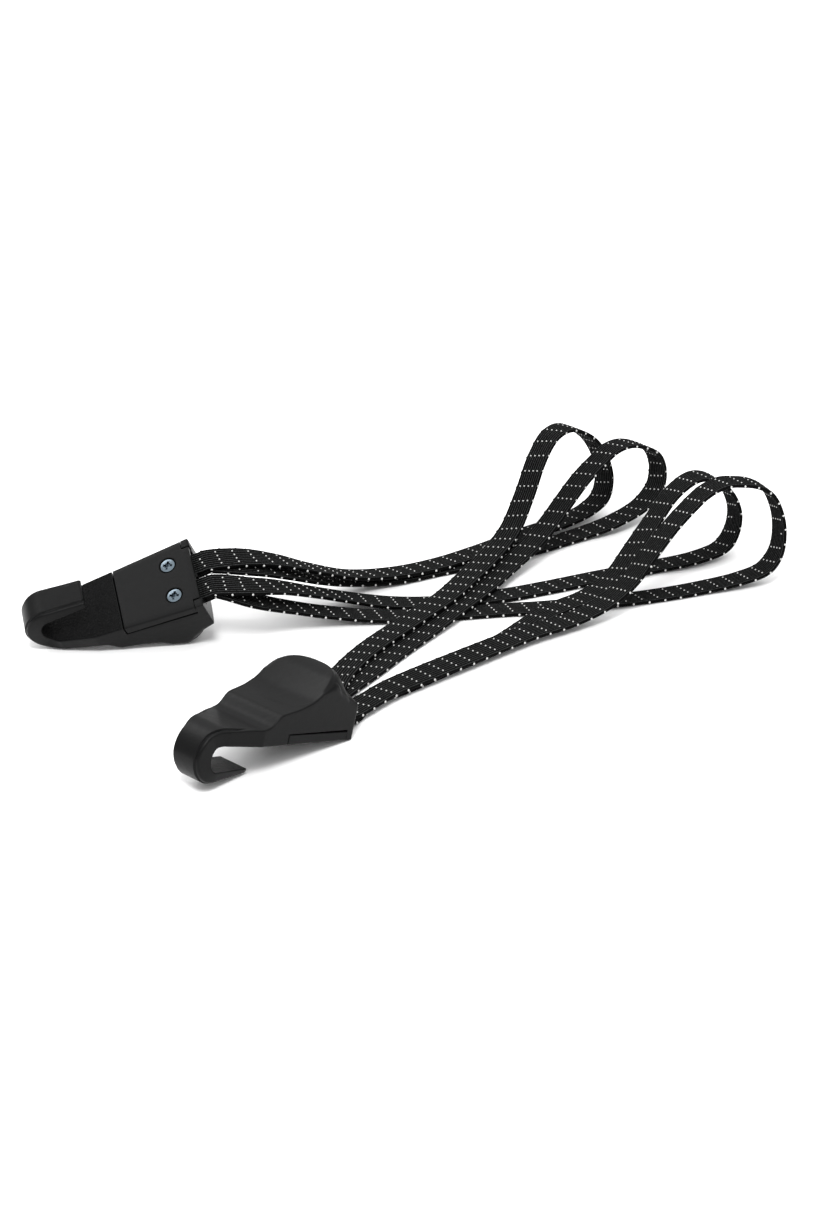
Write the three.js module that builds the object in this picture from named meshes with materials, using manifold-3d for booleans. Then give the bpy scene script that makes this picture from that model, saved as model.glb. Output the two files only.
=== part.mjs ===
// Bicycle tension strap: two moulded J-hooks joined by four flat elastic bands that lie folded into loops.
// Millimetres, +Z up; the strap lies on the plane z = 0.
// Each hook is made in its own frame and then laid down: x from the bend of its J to its mouth,
// y across, z = 0 on the outside of the cover plate and z up through the thumb pad.
import * as THREE from "three";
import { mergeVertices } from "three/addons/utils/BufferGeometryUtils.js";
import Module from "manifold-3d";

const wasm = await Module();
wasm.setup();

// Fits
const gap = 0.3; // between pieces that touch
const overrun = 6; // how far a cut runs past the face that it opens

// Elastic bands
const bandWidth = 12;
const bandThickness = 2;
const edgeAcross = 0.6; // bevel along a band's edges, measured across the band
const edgeDeep = 0.6;
const bandSteps = 60;
const farLead = 5; // straight stretch outside each mouth
const nearLead = 9;

// Hook outline, seen from above
const hookLength = 82;
const mouthHalfWidth = 20.1;
const shoulderX = 29.5; // here the tapering J meets the straight sides of the body
const shoulderHalfWidth = 16;
const waistX = 5;
const waistHalfWidth = 8.7;
const tipHalfWidth = 8.1;
const edgeBevel = 1;
const bevelShare = 0.3; // the most of a thin section that one bevel takes

// The J
const stripThickness = 7.5;
const bendThickness = 8;
const lipThickness = 5.6;
const tipThickness = 3.2;
const bendX = 13.4;
const bendReach = 5.4;
const throatHeight = 12.4;
const tipOpening = 12.4;
const lipLength = 17.6;
const tipRound = 1;
const bendSteps = 10;
const bodySteps = 24;

// Back of the hook, from the side: [distance back from the mouth, z] of the thumb pad,
// of the side edges below it and of the crown behind its rim
const padLine = [
  [6.5, 30.2], [10, 30], [14, 28.7], [17, 26.9], [20, 24.2], [23.5, 21], [27, 18.5], [34, 15.8],
  [43.5, 13.8], [45, 13.1], [47.5, 10], [49.5, 8.3], [53, 7.5],
];
const sideLine = [[0, 16.2], [5, 18.2], [9.6, 19.8], [13, 20.8], [22.5, 21.8]];
const crownLine = [
  [0, 19.8], [6.5, 29], [10, 28.8], [14, 27.5], [17, 25.8], [20, 23.4], [22.5, 21.8],
];
const padBack = 22.5; // middle of the pad's oval rim, back from the mouth
const padRadius = 16; // along the hook
const padHalfWidth = 18;
const rimSlope = 1.4; // width of the step down from the pad's rim
const archPower = 1.8;
const padDish = 0.8;

// Cover plate, its side flanges and its clamping ridges
const coverLength = 38.5;
const coverThickness = 2.4;
const coverSetback = 0.6;
const flangeThickness = 1.6;
const flangeHeight = 4.5;
const notchLength = 3.7; // the housing shows at both corners of the mouth
const notchHalfWidth = 15.6;
const ridgeShares = [0.3, 0.76, 0.89]; // of the channel, back from the mouth
const ridgeLength = 1.2;
const ridgeHeight = 1.1;

// Room inside the hook
const groupY = 7.4; // middle of each pair of stacked bands
const layerZ = 4.8; // middle of the band next to the cover
const layerPitch = 2.4;
const channelLength = 21;
const channelTop = 8.9;
const channelMargin = 0.5;
const chamberLength = 11;
const chamberHalfWidth = 14.8;
const chamberTop = 10;
const bandTail = 8.5; // of each band end beyond its channel

// End clips crimped round each pair of bands
const clipWall = 0.8;
const clipLength = 5;

// Screws through the cover and the band ends
const screwBack = 12; // from the mouth
const screwY = 8.9;
const headRadius = 3.4;
const headHeight = 1.5;
const headSink = 0.3;
const shankRadius = 1.75;
const screwLength = 14;
const screwPoint = 1.4;
const driveWidth = 0.8;
const driveLength = 3.6;
const driveDepth = 0.9;
const roundSides = 20;

// How the hooks lie: turns in degrees, and where the inner end of each hook's axis stands on the plane
const nearPose = { yaw: 47.8, pitch: -17.5, roll: 0, x: 7.5, y: -79.2 };
const farPose = { yaw: 4.2, pitch: 20.5, roll: 206.9, x: -74.8, y: 54.2 };

// Routes of the free bands, from the far hook to the near one. Each point is [x, y, z, heading, tilt]:
// the middle of the band, and which way its width points, in degrees round Z and above the plane.
const bands = [
  {
    name: "band_a",
    far: [-1, 0],
    near: [1, 1],
    route: [
      [24, 72, 36, 114, 17], [39, 79, 31, 122, 9], [55.5, 91, 21, 127, 3], [73, 105, 11, 127, 0],
      [94, 119, 5.5, 128, 0], [114.5, 132, 3.8, 130, 0], [136, 147.5, 3.8, 132, 0],
      [159.5, 167.5, 3.8, 134, 0], [175.5, 179, 4, 136, 0], [189, 192, 5, 136, 0],
      [196, 199, 9, 136, 0], [198, 201, 18, 136, 0], [196, 199, 29.5, 136, 0],
      [190, 193, 42.5, 136, 0], [182.5, 185.5, 51, 136, 0], [175, 178, 55.5, 136, 0],
      [168, 170.5, 54, 136, 0], [162, 164, 45, 136, 0], [156, 158, 28.5, 138, 0],
      [149, 148.5, 14.5, 142, 0], [138.5, 129, 9.5, 150, 0], [127.5, 109.5, 7.5, 150, 0],
      [117, 90.5, 6.7, 148, 0], [108.5, 78.5, 6.3, 146, 0], [97.5, 65, 5, 144, 0],
      [81, 42.5, 4, 145, 0], [69.5, 19, 3.9, 151, 0],
    ],
  },
  {
    name: "band_b",
    far: [-1, 1],
    near: [1, 0],
    route: [
      [29, 71.5, 31, 115, 15], [42, 80.5, 24, 121, 8], [56.5, 94.5, 14, 124, 3],
      [73, 109.5, 5.5, 122, 0], [93.5, 120, 2, 119, 0], [114.5, 131, 1.3, 116, 0],
      [136, 140, 1.3, 115, 0], [159, 153, 1.3, 120, 0], [184.5, 169.5, 2, 122, 0],
      [201, 177.5, 5, 130, 0], [217, 192, 8.5, 132, 0], [223.5, 197.5, 15.5, 132, 0],
      [224.5, 198.5, 25, 132, 0], [221.5, 195.5, 34.5, 132, 0], [215, 189.5, 41, 132, 0],
      [206, 182, 45.5, 132, 0], [198.5, 175, 45.5, 132, 0], [192, 169.5, 41.5, 132, 0],
      [183.5, 161.5, 35.5, 133, 0], [175, 154, 26.5, 134, 0], [168, 148, 18.5, 136, 0],
      [158.5, 139, 10.5, 140, 0], [145.5, 122.5, 5.5, 146, 0], [133.5, 102.5, 4.2, 148, 0],
      [118.5, 79, 3.8, 147, 0], [109.5, 66.5, 2.6, 145, 0], [95.5, 47, 1.5, 146, 0],
      [82, 25.5, 1.5, 148, 0], [69.5, 6, 1.5, 147, 0],
    ],
  },
  {
    name: "band_c",
    far: [1, 0],
    near: [-1, 0],
    route: [
      [27, 56.5, 29, 110, 16], [40, 65.5, 24, 118, 9], [55.5, 78.5, 15, 120, 3],
      [72, 89.5, 6.5, 112, 0], [90.5, 92.5, 2.5, 100, 0], [114, 95, 1.3, 98, 0],
      [143, 102, 1.3, 109, 0], [164.5, 110.5, 1.3, 112, 0], [191.5, 122.5, 1.3, 113, 0],
      [217.5, 133, 1.5, 112, 0], [240, 141, 3, 114, 0], [252.5, 148, 5.5, 118, 0],
      [257, 150, 12, 118, 0], [258.5, 151, 21.5, 118, 0], [256.5, 150, 30, 118, 0],
      [251.5, 147, 38.5, 118, 0], [243.5, 143, 45, 118, 0], [235.5, 138.5, 46.5, 118, 0],
      [225.5, 133.5, 40.5, 119, 0], [216.5, 128, 29, 122, 0], [206, 117, 17.5, 130, 0],
      [197, 107.5, 8.5, 134, 0], [185, 96, 4.8, 130, 0], [170.5, 85, 3.9, 130, 0],
      [163, 78.5, 3.5, 131, 0], [154.5, 70.4, 1.6, 134, 0], [147, 60.3, 1.4, 138, 0],
      [136.5, 48, 1.3, 136, 0], [114, 27.5, 1.3, 132, 0], [96.5, 11.3, 1.3, 136, 0],
      [80, -3, 1.5, 142, 0],
    ],
  },
  {
    name: "band_d",
    far: [1, 1],
    near: [-1, 1],
    route: [
      [27.5, 57.5, 21.5, 110, 14], [44.5, 67, 13, 114, 6], [63.5, 75, 6, 107, 2],
      [89, 79.5, 1.8, 99, 0], [114, 82.5, 1.3, 97, 0], [142.5, 87, 1.3, 97, 0],
      [162.5, 89.5, 1.3, 99, 0], [199.5, 97.5, 1.3, 104, 0], [219, 103, 1.3, 108, 0],
      [238.5, 110, 1.6, 109, 0], [259, 116, 4, 112, 0], [270, 119.5, 7.5, 114, 0],
      [275.5, 122, 15, 114, 0], [276.5, 122.5, 27.5, 114, 0], [274, 121.5, 39, 114, 0],
      [269, 119, 48.5, 114, 0], [262, 116, 53.5, 114, 0], [254, 112.5, 56, 114, 0],
      [246.5, 109, 57, 114, 0], [238, 105.5, 54, 114, 0], [230.5, 102, 48, 115, 0],
      [222, 98, 39.5, 116, 0], [212.5, 93, 28, 118, 0], [203, 87.5, 16.5, 121, 0],
      [191.5, 81, 8.5, 122, 0], [174.5, 70.5, 4.5, 123, 0], [154, 57, 4.5, 127, 4],
      [123.5, 31.5, 4.7, 130, 9], [107.5, 18, 4.7, 131, 9], [90, 2.5, 4.5, 136, 6],
    ],
  },
];

const colours = {
  hook: { color: 0x2b2c2d, roughness: 0.55, metalness: 0 },
  cover: { color: 0x303132, roughness: 0.5, metalness: 0 },
  band: { color: 0x1b1d1d, roughness: 0.9, metalness: 0 },
  screw: { color: 0xa9b8c2, roughness: 0.3, metalness: 1 },
  clip: { color: 0x9a9c9e, roughness: 0.4, metalness: 1 },
};

const { lerp, clamp, smoothstep, degToRad } = THREE.MathUtils;

// Places along the hook
const seamX = hookLength - coverLength;
const notchX = hookLength - notchLength;
const padX = hookLength - padBack;
const screwX = hookLength - screwBack;
const channelX = hookLength - channelLength;
const chamberX = channelX - chamberLength;
const bandEndX = channelX - bandTail;

// Solids
function toSolid(geometry) {
  const bare = geometry.clone();
  bare.deleteAttribute("normal");
  bare.deleteAttribute("uv");
  const merged = mergeVertices(bare);
  const mesh = new wasm.Mesh({
    numProp: 3,
    vertProperties: merged.attributes.position.array,
    triVerts: new Uint32Array(merged.index.array),
  });
  return new wasm.Manifold(mesh);
}

function toGeometry(solid) {
  const mesh = solid.getMesh();
  const geometry = new THREE.BufferGeometry();
  geometry.setAttribute("position", new THREE.BufferAttribute(mesh.vertProperties, 3));
  geometry.setIndex(new THREE.BufferAttribute(mesh.triVerts, 1));
  geometry.computeVertexNormals();
  return geometry;
}

const joined = (solids) => solids.reduce((a, b) => a.add(b));

function box([x0, x1], [y0, y1], [z0, z1]) {
  const geometry = new THREE.BoxGeometry(x1 - x0, y1 - y0, z1 - z0);
  geometry.translate((x0 + x1) / 2, (y0 + y1) / 2, (z0 + z1) / 2);
  return toSolid(geometry);
}

// A plate over the outline [x, y], from z0 up to z1
function plate(outline, z0, z1) {
  const shape = new THREE.Shape(outline.map(([x, y]) => new THREE.Vector2(x, y)));
  const geometry = new THREE.ExtrudeGeometry(shape, { depth: z1 - z0, bevelEnabled: false });
  geometry.translate(0, 0, z0);
  return toSolid(geometry);
}

// A piece turned about the vertical through (x, y), with its profile as [radius, z] from the bottom up
function turned(profile, x, y) {
  const points = profile.map(([r, z]) => new THREE.Vector2(r, z));
  const geometry = new THREE.LatheGeometry(points, roundSides);
  geometry.rotateX(Math.PI / 2);
  geometry.translate(x, y, 0);
  return toSolid(geometry);
}

// A closed body through a row of equal rings of points: the grid of a cylinder, moved onto the rings
function through(rings) {
  const around = rings[0].length;
  const geometry = new THREE.CylinderGeometry(1, 1, 1, around, rings.length - 1);
  const at = geometry.attributes.position;
  for (let i = 0; i < at.count; i++) {
    const ring = rings[Math.round((0.5 - at.getY(i)) * (rings.length - 1))];
    const onAxis = at.getX(i) === 0 && at.getZ(i) === 0;
    const turn = Math.atan2(at.getX(i), at.getZ(i)) / (2 * Math.PI);
    const k = (Math.round(turn * around) + around) % around;
    const middle = ring.reduce((sum, p) => sum.add(p), new THREE.Vector3()).divideScalar(around);
    const p = onAxis ? middle : ring[k];
    at.setXYZ(i, p.x, p.y, p.z);
  }
  return toSolid(geometry);
}

// Outline of the hook
function along(line, x) {
  const i = clamp(line.findIndex(([px]) => px >= x), 1, line.length - 1);
  const [x0, z0] = line[x > line.at(-1)[0] ? line.length - 2 : i - 1];
  const [x1, z1] = line[x > line.at(-1)[0] ? line.length - 1 : i];
  return lerp(z0, z1, clamp((x - x0) / (x1 - x0), 0, 1));
}

const widthLine = [
  [waistX, waistHalfWidth],
  [shoulderX, shoulderHalfWidth],
  [hookLength, mouthHalfWidth],
];
const halfWidth = (x) => along(widthLine, x);

function backHeight(x, y) {
  const half = halfWidth(x);
  const back = hookLength - x;
  const beyond = Math.max(0, x - padX);
  const pad = along(padLine, back);
  const aside = x < padX ? pad : along(sideLine, back);
  const crown = x < padX ? pad : along(crownLine, back);
  const rimY = padHalfWidth * Math.sqrt(Math.max(0, 1 - (beyond / padRadius) ** 2));
  const share = clamp((Math.abs(y) - rimY) / Math.max(gap, half - rimY), 0, 1);
  const arch = lerp(crown, aside, share ** archPower);
  const inward = (y * padRadius) / padHalfWidth;
  const away = Math.hypot(x - padX, inward) / padRadius;
  const outside = Math.hypot(beyond, inward) - padRadius;
  const dish = x > seamX ? padDish * Math.max(0, 1 - away ** 2) : 0;
  return lerp(pad - dish, arch, smoothstep(outside, -rimSlope, 0));
}

// Sections of the hook, from the mouth back to the strip, round the bend and out along the lip.
// Each has its place on the J's inner face, the outward direction there, and its thickness outwards.
function bodySection(x) {
  return { x, z: 0, out: [0, 1], half: halfWidth(x), height: (y) => backHeight(x, y) };
}

function bendSection(turn) {
  const angle = Math.PI * (0.5 + turn);
  const thickness =
    turn < 0.5
      ? lerp(stripThickness, bendThickness, 2 * turn)
      : lerp(bendThickness, lipThickness, 2 * turn - 1);
  const x = bendX + bendReach * Math.cos(angle);
  const outerX = x + thickness * Math.cos(angle);
  return {
    x,
    z: (throatHeight / 2) * (Math.sin(angle) - 1),
    out: [Math.cos(angle), Math.sin(angle)],
    half: turn < 0.5 ? halfWidth(outerX) : waistHalfWidth,
    height: () => thickness,
  };
}

function lipSection(share, rounding) {
  const trim = tipRound * (1 - Math.cos((rounding * Math.PI) / 2));
  const reach = tipRound * Math.sin((rounding * Math.PI) / 2);
  const thickness = lerp(lipThickness, tipThickness, share);
  return {
    x: bendX + share * lipLength + reach,
    z: lerp(-throatHeight, -tipOpening, share) - trim,
    out: [0, -1],
    half: lerp(waistHalfWidth, tipHalfWidth, share) - trim,
    height: () => thickness - 2 * trim,
  };
}

const acrossShares = [1, 0.96, 0.86, 0.7, 0.48, 0.24, 0, -0.24, -0.48, -0.7, -0.86, -0.96, -1];

function ringOf({ x, z, out, half, height }) {
  const ring = [];
  const bevel = Math.min(edgeBevel, bevelShare * height(half));
  const flat = half - bevel;
  const put = (y, h) => ring.push(new THREE.Vector3(x + out[0] * h, y, z + out[1] * h));
  [-1, 0, 1].forEach((share) => put(share * flat, 0));
  put(half, bevel);
  put(half, height(half) - bevel);
  acrossShares.forEach((share) => put(share * flat, height(share * flat)));
  put(-half, height(half) - bevel);
  put(-half, bevel);
  return ring;
}

// Sections at each change of the lines above, with even steps between them
function bodyPlaces() {
  const rim = padX + padRadius;
  const changes = [...padLine, ...sideLine, ...crownLine].map(([back]) => hookLength - back);
  const places = [...changes, rim, rim - rimSlope, rim - padRadius, seamX, shoulderX, bendX];
  for (let i = 0; i <= bodySteps; i++) places.push(lerp(hookLength, bendX, i / bodySteps));
  const sorted = places.filter((x) => x >= bendX && x <= hookLength).sort((x, y) => y - x);
  return sorted.filter((x, i) => i === 0 || sorted[i - 1] - x > gap);
}

function shellSolid() {
  const sections = bodyPlaces().map(bodySection);
  for (let i = 1; i <= bendSteps; i++) sections.push(bendSection(i / bendSteps));
  sections.push(lipSection(0.5, 0), lipSection(1, 0), lipSection(1, 0.5), lipSection(1, 1));
  return through(sections.map(ringOf));
}

// The band's section, and a straight end of band inside the hook
const halfBand = bandWidth / 2;
const halfThick = bandThickness / 2;
const quarter = [
  [halfBand, halfThick - edgeDeep],
  [halfBand - edgeAcross, halfThick],
];
const bandShape = new THREE.Shape(
  [
    ...quarter,
    ...quarter.map(([x, y]) => [-x, y]).reverse(),
    ...quarter.map(([x, y]) => [-x, -y]),
    ...quarter.map(([x, y]) => [x, -y]).reverse(),
  ].map(([x, y]) => new THREE.Vector2(x, y)),
);
const layerHeight = (layer) => layerZ + layer * layerPitch;

// Cuts shared by the cover, the band ends and the housing
const shankCut = (side) =>
  turned(
    [
      [0, -overrun],
      [shankRadius + gap, -overrun],
      [shankRadius + gap, headSink + screwLength + gap],
      [0, headSink + screwLength + gap],
    ],
    screwX,
    side * screwY,
  );

function coverSpace(room) {
  const wide = mouthHalfWidth + overrun;
  const inner = (x) => halfWidth(x) - flangeThickness - room;
  const start = seamX + gap - room;
  const shoulder = notchX - gap + room;
  const end = room ? hookLength + overrun : hookLength - coverSetback;
  const tongue = notchHalfWidth - gap + room;
  const outline = [
    [start, -wide], [shoulder, -wide], [shoulder, -tongue], [end, -tongue],
    [end, tongue], [shoulder, tongue], [shoulder, wide], [start, wide],
  ];
  const flanges = [-1, 1].map((side) => {
    const corners = [
      [start, side * inner(start)], [shoulder, side * inner(shoulder)],
      [shoulder, side * wide], [start, side * wide],
    ];
    return plate(side > 0 ? corners : corners.reverse(), -overrun, flangeHeight + room);
  });
  return joined([plate(outline, -overrun, coverThickness + room), ...flanges]);
}

function channelCuts() {
  const reach = halfBand + channelMargin;
  return [-1, 1].map((side) => {
    const y = side * groupY;
    return box([channelX - gap, hookLength + overrun], [y - reach, y + reach], [-overrun, channelTop]);
  });
}

function makeBody(shell) {
  const chamber = box(
    [chamberX, channelX],
    [-chamberHalfWidth, chamberHalfWidth],
    [-overrun, chamberTop],
  );
  const cuts = [coverSpace(gap), chamber, ...channelCuts(), shankCut(-1), shankCut(1)];
  return shell.subtract(joined(cuts));
}

function makeCover(shell) {
  const reach = halfBand + channelMargin - gap;
  const ridges = [-1, 1].flatMap((side) =>
    ridgeShares.map((share) => {
      const x = hookLength - share * channelLength;
      return box(
        [x, x + ridgeLength],
        [side * groupY - reach, side * groupY + reach],
        [coverThickness / 2, coverThickness + ridgeHeight],
      );
    }),
  );
  const sinks = [-1, 1].map((side) =>
    turned(
      [
        [0, -overrun],
        [headRadius + gap, -overrun],
        [headRadius + gap, headSink + gap],
        [shankRadius + gap, headSink + headHeight + gap],
        [shankRadius + gap, coverThickness + overrun],
        [0, coverThickness + overrun],
      ],
      screwX,
      side * screwY,
    ),
  );
  return joined([shell.intersect(coverSpace(0)), ...ridges]).subtract(joined(sinks));
}

function makeScrew(side) {
  const top = headSink + screwLength;
  const solid = turned(
    [
      [0, headSink],
      [headRadius, headSink],
      [shankRadius, headSink + headHeight],
      [shankRadius, top - screwPoint],
      [0, top],
    ],
    screwX,
    side * screwY,
  );
  const slot = (alongX, alongY) =>
    box(
      [screwX - alongX / 2, screwX + alongX / 2],
      [side * screwY - alongY / 2, side * screwY + alongY / 2],
      [-overrun, headSink + driveDepth],
    );
  return solid.subtract(slot(driveLength, driveWidth).add(slot(driveWidth, driveLength)));
}

function makeBandEnd(side, layer) {
  const length = hookLength - bandEndX;
  const geometry = new THREE.ExtrudeGeometry(bandShape, { depth: length, bevelEnabled: false });
  const place = new THREE.Matrix4().makeBasis(
    new THREE.Vector3(0, 1, 0),
    new THREE.Vector3(0, 0, 1),
    new THREE.Vector3(1, 0, 0),
  );
  geometry.applyMatrix4(place.setPosition(bandEndX, side * groupY, layerHeight(layer)));
  return toSolid(geometry).subtract(shankCut(side));
}

function makeClip(side) {
  const y = side * groupY;
  const z = layerZ + layerPitch / 2;
  const halfY = halfBand + gap;
  const halfZ = (layerPitch + bandThickness) / 2 + gap;
  const end = channelX - 2 * gap;
  const outer = box(
    [end - clipLength, end],
    [y - halfY - clipWall, y + halfY + clipWall],
    [z - halfZ - clipWall, z + halfZ + clipWall],
  );
  const slot = box(
    [end - clipLength - overrun, end + overrun],
    [y - halfY, y + halfY],
    [z - halfZ, z + halfZ],
  );
  return outer.subtract(slot);
}

// Hooks
const part = new THREE.Group();

function mesh(name, geometry, colour) {
  const made = new THREE.Mesh(geometry, new THREE.MeshStandardMaterial(colours[colour]));
  made.name = name;
  return made;
}

function layHook(name, pose) {
  const hook = new THREE.Group();
  const shell = shellSolid();
  const add = (piece, solid, colour) => hook.add(mesh(name + "_" + piece, toGeometry(solid), colour));
  add("body", makeBody(shell), "hook");
  add("cover", makeCover(shell), "cover");
  [-1, 1].forEach((side, i) => {
    const hand = ["right", "left"][i];
    add("screw_" + hand, makeScrew(side), "screw");
    add("clip_" + hand, makeClip(side), "clip");
    [0, 1].forEach((layer) => {
      add("end_" + hand + "_" + ["lower", "upper"][layer], makeBandEnd(side, layer), "band");
    });
  });
  hook.rotation.set(degToRad(pose.roll), degToRad(-pose.pitch), degToRad(pose.yaw), "ZYX");
  hook.position.set(pose.x, pose.y, 0);
  const bounds = new THREE.Box3().setFromObject(hook, true);
  hook.position.z = -bounds.min.z;
  hook.updateMatrixWorld(true);
  part.add(hook);
  return hook;
}

const nearHook = layHook("near", nearPose);
const farHook = layHook("far", farPose);

// Free bands: a curve through the route that also carries the direction of the band's width
class BandPath extends THREE.CatmullRomCurve3 {
  constructor(points, widths) {
    super(points);
    this.widths = new THREE.CatmullRomCurve3(widths);
  }
  computeFrenetFrames(steps) {
    const frames = { tangents: [], normals: [], binormals: [] };
    for (let i = 0; i <= steps; i++) {
      const tangent = this.getTangentAt(i / steps);
      const width = this.widths.getPoint(this.getUtoTmapping(i / steps));
      const normal = width.addScaledVector(tangent, -width.dot(tangent)).normalize();
      frames.tangents.push(tangent);
      frames.normals.push(normal);
      frames.binormals.push(new THREE.Vector3().crossVectors(tangent, normal));
    }
    return frames;
  }
}

function headingVector(heading, tilt) {
  const level = Math.cos(degToRad(tilt));
  const [x, y] = [Math.cos(degToRad(heading)), Math.sin(degToRad(heading))];
  return new THREE.Vector3(level * x, level * y, Math.sin(degToRad(tilt)));
}

function exitPoints(hook, [side, layer], lead, towards) {
  const at = (x) => hook.localToWorld(new THREE.Vector3(x, side * groupY, layerHeight(layer)));
  const width = new THREE.Vector3(0, 1, 0).transformDirection(hook.matrixWorld);
  width.multiplyScalar(Math.sign(width.dot(towards)));
  const start = hookLength + gap;
  return [0, 0.5, 1].map((share) => ({ point: at(start + share * lead), width }));
}

function makeBand({ name, far, near, route }) {
  const middle = route.map(([x, y, z, heading, tilt]) => ({
    point: new THREE.Vector3(x, y, z),
    width: headingVector(heading, tilt),
  }));
  const stations = [
    ...exitPoints(farHook, far, farLead, middle[0].width),
    ...middle,
    ...exitPoints(nearHook, near, nearLead, middle.at(-1).width).reverse(),
  ];
  const path = new BandPath(
    stations.map((s) => s.point),
    stations.map((s) => s.width.clone()),
  );
  const options = { steps: bandSteps, extrudePath: path, bevelEnabled: false };
  return mesh(name, new THREE.ExtrudeGeometry(bandShape, options), "band");
}

bands.forEach((band) => part.add(makeBand(band)));

export default part;
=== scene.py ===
import math

import bmesh
import bpy
from mathutils import Matrix, Vector


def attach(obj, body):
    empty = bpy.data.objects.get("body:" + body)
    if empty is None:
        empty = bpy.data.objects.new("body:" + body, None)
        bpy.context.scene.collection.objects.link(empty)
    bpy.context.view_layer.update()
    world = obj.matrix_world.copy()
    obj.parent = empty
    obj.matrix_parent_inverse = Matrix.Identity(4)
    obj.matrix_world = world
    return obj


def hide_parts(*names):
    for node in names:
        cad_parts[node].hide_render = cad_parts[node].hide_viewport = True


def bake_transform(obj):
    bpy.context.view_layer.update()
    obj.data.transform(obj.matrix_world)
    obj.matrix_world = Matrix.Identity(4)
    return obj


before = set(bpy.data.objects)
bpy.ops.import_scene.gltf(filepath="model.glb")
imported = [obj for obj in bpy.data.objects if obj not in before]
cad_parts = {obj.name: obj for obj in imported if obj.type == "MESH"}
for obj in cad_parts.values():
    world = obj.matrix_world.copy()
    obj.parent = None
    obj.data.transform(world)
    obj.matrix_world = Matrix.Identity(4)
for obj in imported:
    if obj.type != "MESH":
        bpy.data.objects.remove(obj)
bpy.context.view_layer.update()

bl_info = {
    "name": "Bicycle tension strap",
    "version": (1, 0, 0),
    "blender": (4, 5, 0),
    "location": "View3D > Sidebar > Strap",
    "description": "Dresses the strap's hooks, bands and screws, and sets the camera and studio",
    "category": "Object",
}

# A millimetre in metres, and the least step between two rings
MM = 0.001
TINY = 1e-4

# Photograph: where the camera looks, how far away and how high it stands
AIM = Vector((0.100, 0.085, 0.0))
DISTANCE = 1.3165
ELEVATION = math.radians(26.93)
FOCAL_PIXELS = 2798.65
IMAGE_WIDTH = 820
SENSOR = 36.0

# How the hooks lie: yaw, pitch and roll in degrees, and the inner end of the axis in millimetres
HOOKS = {
    "near": {"turn": (47.8, -17.5, 0.0), "at": (7.5, -79.2, 24.66)},
    "far": {"turn": (4.2, 20.5, 206.9), "at": (-74.8, 54.2, 6.31)},
}
SIDES = {-1: "right", 1: "left"}
LAYERS = ("lower", "upper")

# Hook outline and J
GAP = 0.3
HOOK_LENGTH = 82.0
WIDTH_LINE = ((5.0, 8.7), (29.5, 16.0), (82.0, 20.1))
WAIST_HALF = 8.7
TIP_HALF = 8.1
STRIP_THICK = 7.5
BEND_THICK = 8.0
LIP_THICK = 5.6
TIP_THICK = 3.2
BEND_X = 13.4
BEND_REACH = 5.4
THROAT = 12.4
TIP_OPENING = 12.4
LIP_LENGTH = 17.6
TIP_ROUND = 1.0

# Back of the hook, as [distance back from the mouth, z]
PAD_LINE = (
    (6.5, 30.2), (10, 30), (14, 28.7), (17, 26.9), (20, 24.2), (23.5, 21), (27, 18.5), (34, 15.8),
    (43.5, 13.8), (45, 13.1), (47.5, 10), (49.5, 8.3), (53, 7.5),
)
SIDE_LINE = ((0, 16.2), (5, 18.2), (9.6, 19.8), (13, 20.8), (22.5, 21.8))
CROWN_LINE = (
    (0, 19.8), (6.5, 29), (10, 28.8), (14, 27.5), (17, 25.8), (20, 23.4), (22.5, 21.8),
)
PAD_X = HOOK_LENGTH - 22.5
PAD_RADIUS = 16.0
PAD_HALF = 18.0
RIM_SLOPE = 1.4
ARCH_POWER = 1.8
PAD_DISH = 0.8
SOFTEN = 1.6
FOOT = 0.5
BROW = 0.7
DOME_BROW = 5.0
DOME_START = 9.0
DOME_END = 7.0
DOME_FALL = 0.7
SEAM_ROUND = 0.35
WALL_ROUND = 0.3
PANEL_FADE = (2.0, 11.0)
PANEL_ROUND = 0.12
WRAP_DRAFT = 1.2
WRAP_BROW = 1.1
WRAP_ROUND_SHARE = 0.28
WRAP_WALL = 1.9

# Cover, flanges and the room inside
SEAM_X = HOOK_LENGTH - 38.5
NOTCH_X = HOOK_LENGTH - 3.7
COVER_THICK = 2.4
COVER_END = HOOK_LENGTH - 0.6
FLANGE_THICK = 1.6
FLANGE_HEIGHT = 4.5
FLANGE_SLACK = (0.1, 0.6)
FLANGE_ROUND = 0.25
COVER_FOOT = 0.7
TONGUE_FOOT = 0.35
TONGUE_LIP = 0.6
NOTCH_HALF = 15.6
CHANNEL_LENGTH = 21.0
CHANNEL_X = HOOK_LENGTH - CHANNEL_LENGTH
CHANNEL_TOP = 8.9
CHANNEL_MARGIN = 0.5
CHAMBER_HALF = 14.8
CHAMBER_TOP = 10.0
BAND_END_X = CHANNEL_X - 8.5
CHAMBER_SPARE = 2.5
RIDGE_SHARES = (0.3, 0.76, 0.89)
RIDGE_LENGTH = 1.2
RIDGE_HEIGHT = 1.1

# Rounding of the edges sharper than this angle in degrees, in metres
EASE_ANGLE = 35
BODY_EASE = 0.0005
COVER_EASE = 0.0003

# Bands
GROUP_Y = 7.4
LAYER_Z = 4.8
LAYER_PITCH = 2.4
FAR_LEAD = 5.0
NEAR_LEAD = 9.0
CURVE_STEPS = 2400
CURVE_NUDGE = 2e-4
SECTION_STEPS = 6
EVEN_SHARE = 0.75
PATH_STEP = 7
DOT_HEIGHT = 0.28
DOT_DEPTH = 0.95
EDGE_DOT_STRETCH = 1.35
EDGE_DOT = (0.45, 0.6)
NUB = (0.7, 0.45, 0.6)
FIRST_MARK = 1.1
MARK_MARGIN = 0.15
EDGE_MARK = 1.2

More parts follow.
